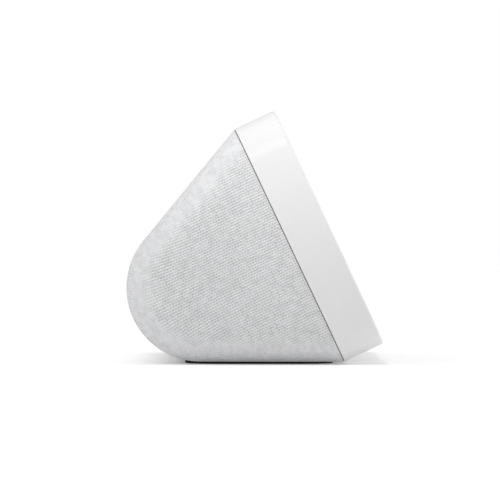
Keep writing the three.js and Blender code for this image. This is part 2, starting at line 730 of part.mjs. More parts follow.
// Power inlet
const inletRing = ringY(INLET_RADIUS, INLET_RADIUS + 1.35, [33.4, REAR_Y - 0.3], 28);
add(speaker, 'dc_inlet_ring', inletRing, 'darkPlastic', [INLET_X, 0, NOSE_Z]);
add(speaker, 'dc_jack', dcJack(), 'darkPlastic', [INLET_X, 0, NOSE_Z]);
const jackBoard = box([-9, 9], [15, 33], [-8.2, -6.7]);
add(speaker, 'jack_board', jackBoard, 'board', [INLET_X, 0, NOSE_Z]);
add(speaker, 'power_lead', lead([
  [INLET_X, 14.4, NOSE_Z - 6.8], [46, 8, 19], [44, -2, 23], panelPoint(41, -12, -3), panelPoint(41, -12, 0.9),
], 2.2), 'rubber');

// Loudspeaker
add(speaker, 'speaker_enclosure', speakerEnclosure(), 'darkPlastic');
add(speaker, 'speaker_lead', lead([
  [29, 9, 27], [34, 6, 29], [38.6, 2, 30.5], panelPoint(39, 2, -4), panelPoint(39, 2, 0.9),
], 1.8), 'rubber');
add(driver, 'speaker_gasket', ringY(17.6, 18.9, [20.1, 20.7]), 'rubber');
add(driver, 'speaker_basket', speakerBasket(), 'steel');
add(driver, 'speaker_top_plate', ringY(6.9, 12, [7.0, 8.7]), 'steel');
add(driver, 'speaker_magnet', ringY(7.6, 13, [4.8, 6.8]), 'ferrite');
add(driver, 'speaker_yoke', speakerYoke(), 'steel');
add(driver, 'voice_coil', ringY(6.0, 6.5, [6.6, 15.0]), 'copper');
add(driver, 'spider', spider(), 'amber');
add(driver, 'speaker_cone', speakerCone(), 'paper');
add(driver, 'dust_cap', dustCap(), 'paper');
add(driver, 'surround', surround(), 'rubber');
for (const [i, [x, z]] of lugPlaces().entries()) {
  add(driver, `speaker_screw_${i + 1}`, screw(1.9, 1.2, 4), 'steel', [x, 22.2, z]);
}

export default speaker;
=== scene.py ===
"""Looks for a compact smart speaker with a tilted touchscreen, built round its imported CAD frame.

Shapes are written in millimetres and turned into metres as each mesh is made. Two frames are used:
the body frame, +Z up with the screen towards -Y, and the panel frame, tilted with the screen, which
has x across, y up along the screen and z out of it, with z = 0 on the seam behind the white band.
"""
import json
import math

import bmesh
import bpy
from mathutils import Matrix, Vector


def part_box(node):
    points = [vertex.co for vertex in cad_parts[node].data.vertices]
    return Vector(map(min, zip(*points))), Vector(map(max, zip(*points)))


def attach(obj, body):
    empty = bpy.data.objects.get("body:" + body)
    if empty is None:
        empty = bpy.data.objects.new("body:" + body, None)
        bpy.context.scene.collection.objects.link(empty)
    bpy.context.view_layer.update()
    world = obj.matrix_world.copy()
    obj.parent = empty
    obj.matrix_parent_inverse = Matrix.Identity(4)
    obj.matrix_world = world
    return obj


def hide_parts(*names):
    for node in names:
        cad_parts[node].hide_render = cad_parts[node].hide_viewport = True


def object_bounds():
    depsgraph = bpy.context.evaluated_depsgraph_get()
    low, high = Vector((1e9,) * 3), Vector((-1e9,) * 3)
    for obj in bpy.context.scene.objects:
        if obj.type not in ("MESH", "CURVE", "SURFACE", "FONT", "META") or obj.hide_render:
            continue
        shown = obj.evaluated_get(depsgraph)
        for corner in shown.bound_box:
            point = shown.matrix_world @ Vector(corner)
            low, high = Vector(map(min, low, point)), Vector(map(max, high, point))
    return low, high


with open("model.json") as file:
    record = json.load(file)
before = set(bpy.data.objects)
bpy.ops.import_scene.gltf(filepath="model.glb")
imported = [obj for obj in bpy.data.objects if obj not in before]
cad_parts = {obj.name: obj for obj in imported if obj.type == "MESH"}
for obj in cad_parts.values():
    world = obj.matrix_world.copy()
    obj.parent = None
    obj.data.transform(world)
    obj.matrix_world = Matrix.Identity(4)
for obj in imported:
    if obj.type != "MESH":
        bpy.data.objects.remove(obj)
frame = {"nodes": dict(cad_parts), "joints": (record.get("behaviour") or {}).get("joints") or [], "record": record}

CAD_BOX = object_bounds()
MM = 0.001

# ---------------------------------------------------------------- driving dimensions, in millimetres

PANEL_WIDTH = 147.0
PANEL_HEIGHT = 83.0
CORNER_RADIUS = 12.5
BAND_DEPTH = 14.0
BAND_FILLET = 0.8
NOSE_RADIUS = 23.8
SIDE_TAPER = 0.061
FABRIC = 0.8  # thickness of the knit
SEAM_GAP = 0.2  # between the seam plane and the knit's edge

RIM = 1.7  # white rim round the glass
GLASS_EDGE = 1.9  # from the band's side in to the glass
GLASS_Z = (12.2, 13.8)
LIP_Z = (10.3, 11.7)
SCREEN = (125.0, 62.5)
LEDGE_OPENING = (130.6, 67.6, 2.0)  # width, height and corner radius of the hole behind the glass
LEDGE_TOP = 38.9  # how high the pockets in the ledge reach
BAND_BACK = 0.06  # the band's back edge, in panel z
BAND_WALL = 2.5
BUTTON_NODES = ("mute_button", "volume_down_button", "volume_up_button")
BUTTON_SIZE = (14.0, 4.0)
BUTTON_RISE = 0.5  # how far a key stands out of the band
BUTTON_Z = 6.5
SLOT_PLAY = 0.6  # room for a key in its slot, both sides together
KNOB_SIZE = (7.0, 4.4)
BLADE_LENGTH = 11.2  # the shutter's blade, along the band
FOOT_CORNER = 11.0
FOOT_PLAY = 0.3  # between the foot and the knit round it
INLET_HOLE = 6.9  # radius of the hole in the knit
KNIT_PITCH = (1.7, 1.0)  # width of a wale, which has two ridges, and height of a course
FAN = 0.28  # how far the rows of the side spread out towards the nose

# ---------------------------------------------------------------- the panel frame, from the CAD frame

joints = {joint["name"]: joint for joint in frame["joints"]}
PANEL_UP = -Vector(joints["mute_press"]["axis"]).normalized()
SIN, COS = PANEL_UP.y, PANEL_UP.z
PANEL_OUT = Vector((0, -COS, SIN))
gasket_low, gasket_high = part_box("seam_gasket")
GASKET_MIDDLE_Z = -0.025  # the gasket's middle, in panel z
panel_origin = (gasket_low + gasket_high) / 2 - PANEL_OUT * GASKET_MIDDLE_Z * MM
PANEL = Matrix.Translation(panel_origin) @ Matrix.Rotation(math.atan2(COS, SIN), 4, "X")
BODY = Matrix.Identity(4)

NOSE_DEPTH = (PANEL_HEIGHT / 2 * COS - NOSE_RADIUS) / SIN
WEDGE_DEPTH = NOSE_DEPTH + NOSE_RADIUS


def middle(node_name):
    """The middle of a CAD node's box, in body millimetres."""
    low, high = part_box(node_name)
    return (low + high) / 2 / MM


def panel_middle(node_name):
    """The middle of a CAD node, in panel millimetres."""
    return PANEL.inverted() @ (middle(node_name) * MM) / MM


# ---------------------------------------------------------------- mesh helpers

def build(name, vertices, faces, materials, matrix=PANEL, body="housing", sharp_degrees=32):
    """A piece from millimetre vertices, smooth except where its faces meet sharply."""
    mesh = bpy.data.meshes.new(name)
    mesh.from_pydata([matrix @ (Vector(v) * MM) for v in vertices], [], faces)
    mesh.validate()
    obj = bpy.data.objects.new(name, mesh)
    bpy.context.collection.objects.link(obj)
    for material in materials:
        mesh.materials.append(material)
    tidy_mesh(obj, sharp_degrees)
    level_shading(obj)
    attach(obj, body)
    return obj


def level_shading(obj):
    """Keeps large flat faces evenly shaded up to their rounded edges."""
    modifier = obj.modifiers.new("shading", "WEIGHTED_NORMAL")
    modifier.keep_sharp = True
    modifier.weight = 100


def tidy_mesh(obj, sharp_degrees):
    """Merges doubled points, turns faces outwards and marks the sharp edges."""
    work = bmesh.new()
    work.from_mesh(obj.data)
    bmesh.ops.remove_doubles(work, verts=work.verts, dist=1e-6)
    bmesh.ops.dissolve_degenerate(work, edges=work.edges, dist=1e-7)
    bmesh.ops.recalc_face_normals(work, faces=work.faces)
    limit = math.radians(sharp_degrees)
    for edge in work.edges:
        edge.smooth = edge.calc_face_angle(0.0) < limit
    for face in work.faces:
        face.smooth = True
    work.to_mesh(obj.data)
    work.free()


def cut_away(obj, cutters, sharp_degrees=32):
    """Cuts each cutter's shape out of a piece, and removes the cutters."""
    obj.modifiers.clear()
    for cutter in cutters:
        modifier = obj.modifiers.new("cut", "BOOLEAN")
        modifier.operation = "DIFFERENCE"
        modifier.solver = "EXACT"
        modifier.object = cutter
    bpy.context.view_layer.update()
    evaluated = obj.evaluated_get(bpy.context.evaluated_depsgraph_get())
    mesh = bpy.data.meshes.new_from_object(evaluated)
    obj.modifiers.clear()
    obj.data = mesh
    for cutter in cutters:
        bpy.data.objects.remove(cutter)
    tidy_mesh(obj, sharp_degrees)
    level_shading(obj)


def cutter(vertices, faces, matrix):
    """A closed shape that only cuts."""
    mesh = bpy.data.meshes.new("cutter")
    mesh.from_pydata([matrix @ (Vector(v) * MM) for v in vertices], [], faces)
    obj = bpy.data.objects.new("cutter", mesh)
    bpy.context.collection.objects.link(obj)
    tidy_mesh(obj, 32)
    return obj


def rounded_outline(width, height, radius, steps=12):
    """Points round a rounded rectangle, anticlockwise, the same number for any size."""
    radius = max(radius, 0.01)
    points = []
    for corner in range(4):
        sign_x = 1 if corner in (0, 3) else -1
        sign_y = 1 if corner in (0, 1) else -1
        for i in range(steps + 1):
            angle = math.pi / 2 * (corner + i / steps)
            x = sign_x * (width / 2 - radius) + radius * math.cos(angle)
            y = sign_y * (height / 2 - radius) + radius * math.sin(angle)
            points.append((x, y))
    return points


def skin(rings, closed=False, caps=True):
    """Vertices and faces through rings of equally many points."""
    count = len(rings[0])
    vertices = [point for ring in rings for point in ring]
    faces = []
    spans = len(rings) if closed else len(rings) - 1
    for r in range(spans):
        here, there = r * count, (r + 1) % len(rings) * count
        for i in range(count):
            j = (i + 1) % count
            faces.append((here + i, here + j, there + j, there + i))
    if caps and not closed:
        last = (len(rings) - 1) * count
        faces.append(tuple(reversed(range(count))))
        faces.append(tuple(range(last, last + count)))
    return vertices, faces


def fillet(start, end, corner, steps=5):
    """Points on a quarter round from start to end that bends towards corner."""
    points = []
    for i in range(steps + 1):
        angle = math.pi / 2 * i / steps
        a, b = 1 - math.sin(angle), 1 - math.cos(angle)
        points.append(tuple(c + (s - c) * a + (e - c) * b for s, e, c in zip(start, end, corner)))
    return points


def stacked(levels, centre=(0.0, 0.0), steps=12):
    """Rings of rounded rectangles: each level is (width, height, radius, z)."""
    rings = []
    for width, height, radius, z in levels:
        outline = rounded_outline(width, height, radius, steps)
        rings.append([(x + centre[0], y + centre[1], z) for x, y in outline])
    return rings


def inset_levels(width, height, radius, points):
    """Levels from (inset, z) pairs on one rounded rectangle."""
    return [(width - 2 * d, height - 2 * d, radius - d, z) for d, z in points]


def slab_points(z_low, z_high, low_round, high_round, steps=4):
    """(inset, z) pairs up the side of a slab with rounded edges."""
    low = fillet((low_round, z_low), (0, z_low + low_round), (0, z_low), steps)
    high = fillet((0, z_high - high_round), (high_round, z_high), (0, z_high), steps)
    return low + high


def rounded_slab(width, height, radius, z, rounds, centre=(0.0, 0.0), steps=12):
    """A rounded rectangle from z[0] to z[1], with its lower and upper edges rounded."""
    points = slab_points(z[0], z[1], rounds[0], rounds[1])
    return skin(stacked(inset_levels(width, height, radius, points), centre, steps))


def stood_up(vertices, centre):
    """Turns a shape made along z to stand along panel y, about a centre (x, y, z)."""
    return [(centre[0] + x, centre[1] + z, centre[2] - y) for x, y, z in vertices]


def turned(outline, centre, steps=48):
    """A piece turned about the body's y axis: its outline is closed, in (radius, y)."""
    rings = []
    for i in range(steps):
        angle = 2 * math.pi * i / steps
        rings.append([
            (centre[0] + r * math.cos(angle), centre[1] + y, centre[2] + r * math.sin(angle))
            for r, y in outline
        ])
    return skin(rings, closed=True)


def disc_stack(levels, centre, steps=40):
    """A round piece along z in the panel frame: levels are (radius, z)."""
    rings = []
    for radius, z in levels:
        rings.append([
            (
                centre[0] + radius * math.cos(2 * math.pi * i / steps),
                centre[1] + radius * math.sin(2 * math.pi * i / steps),
                z,
            )
            for i in range(steps)
        ])
    return skin(rings)


def joined(*parts):
    """Several (vertices, faces) as one."""
    vertices, faces = [], []
    for part_vertices, part_faces in parts:
        offset = len(vertices)
        vertices += part_vertices
        faces += [tuple(i + offset for i in face) for face in part_faces]
    return vertices, faces


# ---------------------------------------------------------------- material helpers

def new_material(name):
    """A material with its node tree and its main shader."""
    material = bpy.data.materials.new(name)
    material.use_nodes = True
    return material, material.node_tree, material.node_tree.nodes["Principled BSDF"]


def node(tree, kind, inputs=(), **settings):
    """A shader node with its settings, and its first inputs linked or set."""
    made = tree.nodes.new(kind)
    for key, value in settings.items():
        setattr(made, key, value)
    for socket, value in zip(made.inputs, inputs):
        connect(tree, socket, value)
    return made


def connect(tree, socket, value):
    """Links a socket to another node's output, or sets it to a plain value."""
    if isinstance(value, bpy.types.NodeSocket):
        tree.links.new(value, socket)
    else:
        socket.default_value = value


def math_node(tree, operation, *values):
    return node(tree, "ShaderNodeMath", values, operation=operation).outputs[0]


def noise(tree, vector, scale, detail=2.0, roughness=0.5):
    made = node(tree, "ShaderNodeTexNoise")
    connect(tree, made.inputs["Vector"], vector)
    made.inputs["Scale"].default_value = scale
    made.inputs["Detail"].default_value = detail
    made.inputs["Roughness"].default_value = roughness
    return made.outputs["Fac"]


def span(tree, value, low, high, to_low, to_high):
    """A value in low to high, spread over to_low to to_high."""
    made = node(tree, "ShaderNodeMapRange", (value, low, high, to_low, to_high))
    return made.outputs[0]


def tint(tree, factor, dark, light):
    """A colour between dark and light."""
    made = node(tree, "ShaderNodeMix", data_type="RGBA")
    connect(tree, made.inputs["Factor"], factor)
    made.inputs["A"].default_value = (*dark, 1)
    made.inputs["B"].default_value = (*light, 1)
    return made.outputs["Result"]


def bump(tree, height, distance, strength=1.0):
    made = node(tree, "ShaderNodeBump")
    made.inputs["Strength"].default_value = strength
    made.inputs["Distance"].default_value = distance
    connect(tree, made.inputs["Height"], height)
    return made.outputs["Normal"]


def object_coordinates(tree):
    return node(tree, "ShaderNodeTexCoord").outputs["Object"]


def moulded(name, dark, light, roughness, grain=0.00002, grain_scale=3500, specular=0.5, coat=0.0):
    """Moulded plastic or rubber: a fine spark-eroded grain, and slight change in tone and gloss."""
    material, tree, shader = new_material(name)
    place = object_coordinates(tree)
    tone = noise(tree, place, 45, 3)
    connect(tree, shader.inputs["Base Color"], tint(tree, tone, dark, light))
    gloss = noise(tree, place, 900, 4, 0.65)
    low, high = roughness
    connect(tree, shader.inputs["Roughness"], span(tree, gloss, 0.3, 0.7, low, high))
    connect(tree, shader.inputs["Normal"], bump(tree, noise(tree, place, grain_scale, 2), grain))
    shader.inputs["Specular IOR Level"].default_value = specular
    shader.inputs["Coat Weight"].default_value = coat
    shader.inputs["Coat Roughness"].default_value = 0.03
    return material


def metal(name, dark, light, roughness, stretch=(1, 1, 1), scale=400):
    """Rolled or brushed metal, with its grain drawn out along one way."""
    material, tree, shader = new_material(name)
    place = node(tree, "ShaderNodeMapping")
    connect(tree, place.inputs["Vector"], object_coordinates(tree))
    place.inputs["Scale"].default_value = stretch
    grain = noise(tree, place.outputs[0], scale, 4, 0.6)
    connect(tree, shader.inputs["Base Color"], tint(tree, grain, dark, light))
    low, high = roughness
    connect(tree, shader.inputs["Roughness"], span(tree, grain, 0.3, 0.7, low, high))
    connect(tree, shader.inputs["Normal"], bump(tree, grain, 0.00001))
    shader.inputs["Metallic"].default_value = 1.0
    return material


def stitch_pattern(tree, u, v, pitch):
    """Knit stitches, two leaning legs to a wale. Gives their height and a tone for each stitch."""
    wale = math_node(tree, "DIVIDE", u, pitch[0] * MM)
    course = math_node(tree, "DIVIDE", v, pitch[1] * MM)
    across = math_node(tree, "FRACT", wale)
    from_middle = math_node(tree, "ABSOLUTE", math_node(tree, "SUBTRACT", across, 0.5))
    leg = math_node(tree, "SINE", math_node(tree, "MULTIPLY", from_middle, 2 * math.pi))
    leg = math_node(tree, "ABSOLUTE", leg)
    lean = math_node(tree, "ADD", course, math_node(tree, "MULTIPLY", from_middle, 1.6))
    wave = math_node(tree, "COSINE", math_node(tree, "MULTIPLY", lean, 2 * math.pi))
    loop = math_node(tree, "ADD", math_node(tree, "MULTIPLY", wave, 0.3), 0.7)
    height = math_node(tree, "MULTIPLY", leg, loop)
    cell = node(tree, "ShaderNodeCombineXYZ", (
        math_node(tree, "FLOOR", wale), math_node(tree, "FLOOR", lean), 0.0,
    ))
    random = node(tree, "ShaderNodeTexWhiteNoise", (cell.outputs[0],), noise_dimensions="2D")
    return height, random.outputs["Value"]


def knit_material():
    """Light heathered knit: stitches, a varied yarn tone, painted light on the stitch crests and painted shade in
    their valleys, soft fibre and a faint sheen.
    """
    material, tree, shader = new_material("knit_fabric")
    maps = []
    for layer in ("side", "around"):
        uv = node(tree, "ShaderNodeUVMap", uv_map=layer)
        parts = node(tree, "ShaderNodeSeparateXYZ", (uv.outputs[0],))
        wobble = noise(tree, uv.outputs[0], 90, 2)
        shift = span(tree, wobble, 0.0, 1.0, -0.0003, 0.0003)
        u = math_node(tree, "ADD", parts.outputs[0], shift)
        v = math_node(tree, "ADD", parts.outputs[1], shift)
        maps.append(stitch_pattern(tree, u, v, KNIT_PITCH))
    normal = node(tree, "ShaderNodeSeparateXYZ", (node(tree, "ShaderNodeTexCoord").outputs["Normal"],))
    sideways = math_node(tree, "ABSOLUTE", normal.outputs[0])
    top_share = span(tree, sideways, 0.80, 0.70, 0.0, 1.0)
    on_side = span(tree, sideways, 0.80, 0.95, 0.2, 1.0)
    on_flank = span(tree, sideways, 0.70, 0.35, 0.2, 1.0)
    strength = math_node(tree, "MAXIMUM", on_side, on_flank)

    def shared(index):
        made = node(tree, "ShaderNodeMix", data_type="FLOAT")
        connect(tree, made.inputs["Factor"], top_share)
        connect(tree, made.inputs["A"], maps[0][index])
        connect(tree, made.inputs["B"], maps[1][index])
        return made.outputs["Result"]

    level = math_node(tree, "SUBTRACT", shared(0), 0.45)
    height = math_node(tree, "MULTIPLY", level, strength)
    random = shared(1)
    place = object_coordinates(tree)
    fibre = noise(tree, place, 5200, 2, 0.7)
    heather = noise(tree, place, 520, 3, 0.6)
    yarn = math_node(tree, "ADD", math_node(tree, "MULTIPLY", random, 0.18),
                     math_node(tree, "MULTIPLY", heather, 0.3))
    # painted light and shade: the colour follows the stitch height, lighter on the crests and darker in the
    # valleys
    tone = math_node(tree, "ADD", yarn, math_node(tree, "MULTIPLY", height, 0.75))
    tone = math_node(tree, "ADD", tone, 0.25)
    colour = tint(tree, tone, (0.40, 0.402, 0.41), (0.86, 0.862, 0.872))
    connect(tree, shader.inputs["Base Color"], colour)
    relief = math_node(tree, "ADD", height, math_node(tree, "MULTIPLY", fibre, 0.25))
    connect(tree, shader.inputs["Normal"], bump(tree, relief, 0.00022, 0.8))
    connect(tree, shader.inputs["Roughness"], span(tree, fibre, 0.2, 0.8, 0.82, 0.98))
    shader.inputs["Specular IOR Level"].default_value = 0.25
    shader.inputs["Sheen Weight"].default_value = 0.15
    shader.inputs["Sheen Roughness"].default_value = 0.5
    return material


def lens_material():
    """Coated camera glass: near black, with the faint violet reflection of its coating painted into the colour in
    patches.
    """
    material, tree, shader = new_material("lens_glass")
    painted_coating_reflection = noise(tree, object_coordinates(tree), 700, 1)
    # painted reflection: the violet tint of the coating's reflection, laid into the base colour in patches
    colour = tint(tree, painted_coating_reflection, (0.010, 0.012, 0.020), (0.035, 0.02, 0.06))
    connect(tree, shader.inputs["Base Color"], colour)
    dust = noise(tree, object_coordinates(tree), 3000, 2)
    connect(tree, shader.inputs["Roughness"], span(tree, dust, 0.3, 0.7, 0.02, 0.05))
    shader.inputs["Coat Weight"].default_value = 1.0
    shader.inputs["Coat Roughness"].default_value = 0.01
    return material


def clear_material():
    """The clear window in front of the camera and the light sensor."""
    material, tree, shader = new_material("clear_window")
    haze = noise(tree, object_coordinates(tree), 2500, 2)
    connect(tree, shader.inputs["Roughness"], span(tree, haze, 0.3, 0.7, 0.01, 0.03))
    connect(tree, shader.inputs["Base Color"], tint(tree, haze, (0.01, 0.01, 0.012), (0.02, 0.02, 0.024)))
    shader.inputs["Alpha"].default_value = 0.3
    return material


def display_material():
    """The dark picture area behind its glass, with the faint rows of a switched-off panel."""
    material, tree, shader = new_material("display_panel")
    place = object_coordinates(tree)
    parts = node(tree, "ShaderNodeSeparateXYZ", (place,))
    rows = math_node(tree, "SINE", math_node(tree, "MULTIPLY", parts.outputs[2], 2 * math.pi / 0.00013))
    smear = noise(tree, place, 28, 3, 0.6)
    tone = math_node(tree, "ADD", math_node(tree, "MULTIPLY", rows, 0.06), smear)
    connect(tree, shader.inputs["Base Color"], tint(tree, tone, (0.006, 0.006, 0.008), (0.013, 0.013, 0.016)))
    connect(tree, shader.inputs["Roughness"], span(tree, smear, 0.35, 0.7, 0.03, 0.075))
    return material


MATERIALS = {
    "white_plastic": moulded("white_plastic", (0.69, 0.69, 0.688), (0.715, 0.715, 0.713), (0.40, 0.50)),
    "white_print": moulded("white_print", (0.79, 0.79, 0.79), (0.82, 0.82, 0.82), (0.05, 0.09),
                           grain=0.0, coat=0.6),
    "knit_fabric": knit_material(),
    "grey_plastic": moulded("grey_plastic", (0.36, 0.37, 0.38), (0.43, 0.44, 0.45), (0.5, 0.65)),
    "black_plastic": moulded("black_plastic", (0.018, 0.018, 0.02), (0.03, 0.03, 0.032), (0.38, 0.5)),
    "black_rubber": moulded("black_rubber", (0.012, 0.012, 0.012), (0.022, 0.022, 0.022), (0.7, 0.85),
                            grain=0.00004, grain_scale=2200, specular=0.3),
    "grey_rubber": moulded("grey_rubber", (0.22, 0.22, 0.22), (0.27, 0.27, 0.27), (0.7, 0.85)),
    "mark_grey": moulded("mark_grey", (0.10, 0.10, 0.105), (0.14, 0.14, 0.145), (0.5, 0.6)),
    "display_panel": display_material(),
    "lens_glass": lens_material(),
    "cover_glass": clear_material(),
    "circuit_board": moulded("circuit_board", (0.01, 0.09, 0.045), (0.02, 0.14, 0.07), (0.3, 0.42)),
    "steel": metal("steel", (0.5, 0.51, 0.52), (0.66, 0.67, 0.68), (0.25, 0.42), (1, 8, 1)),
    "aluminium": metal("aluminium", (0.66, 0.67, 0.68), (0.78, 0.79, 0.8), (0.32, 0.5), (6, 1, 1)),
    "magnet_iron": moulded("magnet_iron", (0.03, 0.03, 0.033), (0.06, 0.06, 0.065), (0.6, 0.8)),
    "coil_copper": metal("coil_copper", (0.5, 0.2, 0.08), (0.72, 0.34, 0.16), (0.3, 0.45), (1, 20, 1)),
    "cone_paper": moulded("cone_paper", (0.03, 0.029, 0.027), (0.06, 0.058, 0.055), (0.85, 0.95),
                          grain=0.00008, grain_scale=1500, specular=0.2),
    "amber_film": moulded("amber_film", (0.36, 0.17, 0.03), (0.5, 0.26, 0.05), (0.2, 0.3)),
    "spider_cloth": moulded("spider_cloth", (0.42, 0.26, 0.07), (0.55, 0.36, 0.12), (0.85, 0.95),
                            grain=0.0001, grain_scale=1800, specular=0.2),
}


def finish_cad_nodes():
    """Gives every CAD node that stays in view or inside the material of its slot."""
    for row in frame["record"]["subparts"]:
        obj = frame["nodes"][row["node"]]
        obj.data.materials.clear()
        obj.data.materials.append(MATERIALS[row["material_slot"]])


# ---------------------------------------------------------------- knit cover

def wedge_point(inset, extra_round, fraction, angle, front):
    """A point of the wedge's profile in panel (y, z), with the profile inset by inset.

    fraction runs along the flank from the seam, and then angle sweeps the nose.
    """
    inset = inset + extra_round
    radius = NOSE_RADIUS - inset
    start_y = PANEL_HEIGHT / 2 - inset / COS + front * SIN / COS
    if angle is None:
        end_y, end_z = radius * COS, -NOSE_DEPTH - radius * SIN
        return start_y + (end_y - start_y) * fraction, front + (end_z - front) * fraction
    return radius * math.cos(angle), -NOSE_DEPTH - radius * math.sin(angle)


def profile_stations(roll):
    """Stations along half the profile: (extra inset, flank fraction or nose angle, front z)."""
    flank_steps, nose_steps, roll_steps = 26, 26, 4
    tilt = math.atan2(SIN, COS)
    stations = []
    for i in range(roll_steps):
        angle = math.pi / 2 * (1 - i / roll_steps)
        depth = -SEAM_GAP - roll * (1 - math.sin(angle))
        stations.append((roll * (1 - math.cos(angle)), 0.0, None, depth))
    front = -SEAM_GAP - roll
    stations += [(0.0, i / flank_steps, None, front) for i in range(flank_steps)]
    for i in range(nose_steps + 1):
        stations.append((0.0, 1.0, tilt + (math.pi / 2 - tilt) * i / nose_steps, front))
    return stations


def cover_shell(inset, roll):
    """One face of the knit: rings from the left side, over the top, to the right side.

    Gives vertices, faces, the coordinates for the around texture map, and the vertex numbers along its open edge.
    """
    edge_steps, run_steps, side_columns = 14, 26, 28
    stations = profile_stations(roll)
    half = len(stations)

    def side_values(theta):
        rows = []
        for extra, fraction, angle, front in stations:
            depth = inset + extra
            radius = CORNER_RADIUS - depth
            x = PANEL_WIDTH / 2 - depth - radius * (1 - math.cos(theta))
            rounding = radius * COS * (1 - math.sin(theta))
            y, z = wedge_point(depth, rounding, fraction, angle, front)
            rows.append((x * (1 - SIDE_TAPER * (z / WEDGE_DEPTH) ** 2), y, z))
        return rows

    flat_rows = side_values(math.pi / 2)
    lengths = [0.0]
    for a, b in zip(flat_rows, flat_rows[1:]):
        lengths.append(lengths[-1] + math.hypot(b[1] - a[1], b[2] - a[2]))
    total = lengths[-1]

    def full_ring(rows, scale, side):
        upper = [(side * x * scale, y, z) for x, y, z in rows]
        lower = [(side * x * scale, -y, z) for x, y, z in reversed(rows[:-1])]
        return upper + lower

    rings = []
    for side in (-1, 1):
        group = []
        for i in range(edge_steps + 1):
            rows = side_values(math.pi / 2 * i / edge_steps)
            group.append(full_ring(rows, 1.0, side))
        if side < 0:
            rings += group
            for i in range(1, run_steps):
                rings.append(full_ring(flat_rows, 1 - 2 * i / run_steps, -1))
        else:
            rings += reversed(group)
    run_lengths = lengths + [2 * total - s for s in reversed(lengths[:-1])]
    vertices, faces = skin(rings, caps=False)
    ring_size = 2 * half - 1
    faces = [f for f in faces if not is_wrap(f, ring_size)]
    around = [(x, run_lengths[i % ring_size]) for i, (x, _, _) in enumerate(vertices)]
    edge = [[r * ring_size for r in range(len(rings))], [(r + 1) * ring_size - 1 for r in range(len(rings))]]

    for side, ring_index in ((-1, 0), (1, len(rings) - 1)):
        base = ring_index * ring_size
        previous = None
        for j in range(half):
            top, bottom = base + j, base + ring_size - 1 - j
            if top == bottom:
                row = [top] * (side_columns + 1)
            else:
                row = [top]
                a, b = Vector(vertices[top]), Vector(vertices[bottom])
                for k in range(1, side_columns):
                    vertices.append(tuple(a.lerp(b, k / side_columns)))
                    around.append((vertices[-1][0], lengths[j]))
                    row.append(len(vertices) - 1)
                row.append(bottom)
            if previous is None:
                edge.append(row)
            else:
                for k in range(side_columns):
                    face = [previous[k], previous[k + 1], row[k + 1], row[k]]
                    unique = list(dict.fromkeys(face))
                    if len(unique) > 2:
                        faces.append(tuple(unique))
            previous = row
    return vertices, faces, around, edge


def is_wrap(face, ring_size):
    """Whether a face of skin() closes its ring from the last point back to the first."""
    places = sorted({i % ring_size for i in face})
    return places == [0, ring_size - 1]


def knit_cover():
    """The knit: an outer and an inner face joined at the open edge, with the foot and inlet cut out."""
    roll = 0.3
    outer_v, outer_f, outer_uv, outer_edge = cover_shell(0.0, roll)
    inner_v, inner_f, inner_uv, inner_edge = cover_shell(FABRIC, 0.02)
    offset = len(outer_v)
    vertices = outer_v + inner_v
    faces = outer_f + [tuple(i + offset for i in reversed(f)) for f in inner_f]
    for outer_line, inner_line in zip(outer_edge, inner_edge):
        for k in range(len(outer_line) - 1):
            faces.append((
                outer_line[k], outer_line[k + 1],
                inner_line[k + 1] + offset, inner_line[k] + offset,
            ))
    around = outer_uv + inner_uv
    mesh = bpy.data.meshes.new("knit_cover")
    mesh.from_pydata([PANEL @ (Vector(v) * MM) for v in vertices], [], faces)
    for name in ("side", "around"):
        mesh.uv_layers.new(name=name)
    for loop in mesh.loops:
        x, y, z = vertices[loop.vertex_index]
        reach = max(0.0, (6 - NOSE_DEPTH - z) / (NOSE_RADIUS + 6))
        mesh.uv_layers["side"].data[loop.index].uv = (y * (1 - FAN * reach ** 2) * MM, z * MM)
        u, v = around[loop.vertex_index]
        mesh.uv_layers["around"].data[loop.index].uv = (u * MM, v * MM)
    mesh.materials.append(MATERIALS["knit_fabric"])
    obj = bpy.data.objects.new("knit_cover", mesh)
    bpy.context.collection.objects.link(obj)
    tidy_mesh(obj, 50)
    cut_away(obj, [foot_cutter(), inlet_cutter()], 50)
    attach(obj, "housing")
    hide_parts("fabric_cover")
    return obj


def foot_size():
    """The foot's size and middle, in body millimetres."""
    low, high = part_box("rubber_foot")
    return (high - low) / MM, (high + low) / 2 / MM


def foot_cutter():
    """The opening in the knit that the foot shows through."""
    size, centre = foot_size()
    width, depth = size.x + 2 * FOOT_PLAY, size.y + 2 * FOOT_PLAY
    levels = [(width, depth, FOOT_CORNER + FOOT_PLAY, z) for z in (-2, 3.6)]
    vertices, faces = skin(stacked(levels, (centre.x, centre.y)))
    return cutter(vertices, faces, BODY)


def inlet_cutter():
    """The round opening in the knit behind the power inlet."""
    centre = middle("dc_inlet_ring")
    outline = [(0.0, -6.0), (INLET_HOLE, -6.0), (INLET_HOLE, 8.0), (0.0, 8.0)]
    vertices, faces = turned(outline, centre)
    return cutter(vertices, faces, BODY)


# ---------------------------------------------------------------- white band

